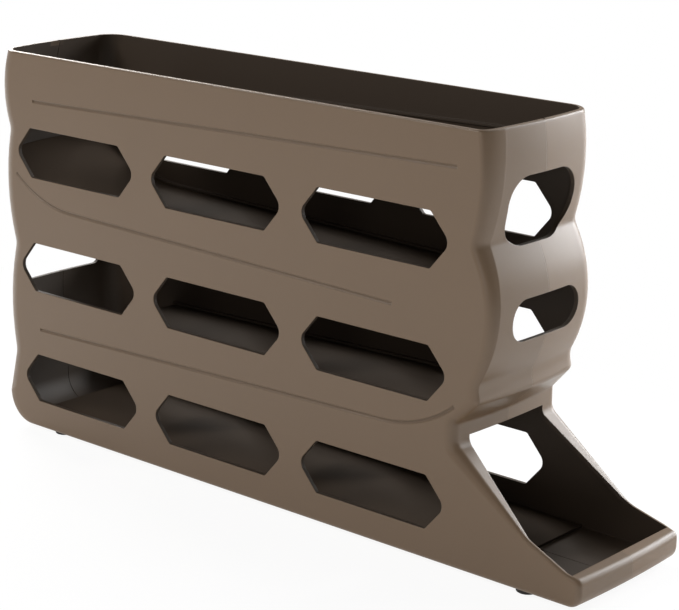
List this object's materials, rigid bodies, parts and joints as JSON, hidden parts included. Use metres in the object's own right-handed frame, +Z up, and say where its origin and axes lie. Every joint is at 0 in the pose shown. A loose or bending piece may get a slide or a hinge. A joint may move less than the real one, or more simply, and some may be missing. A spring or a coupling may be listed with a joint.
{
  "type": "rolling egg dispenser",
  "caption": "Open-topped egg dispenser: moulded half shells with long pointed windows hold zigzag tracks that roll eggs down to an open chute with a low lip",
  "frame": {"origin": "middle of the footprint, on the surface that the feet stand on", "axes": "+X along the body towards the chute, +Y across it away from the front side face, +Z up"},
  "size_m": [0.3608, 0.0746, 0.1934],
  "materials": {
    "shell_plastic": "satin taupe, finely textured",
    "track_plastic": "satin dark taupe",
    "foot_rubber": "matt black"
  },
  "bodies": {
    "root": {"front_shell": "shell_plastic", "rear_shell": "shell_plastic", "track_upper": "track_plastic", "track_middle": "track_plastic", "track_lower": "track_plastic", "floor_ramp": "track_plastic", "foot_front_left": "foot_rubber", "foot_front_right": "foot_rubber", "foot_rear_left": "foot_rubber", "foot_rear_right": "foot_rubber"}
  },
  "joints": []
}
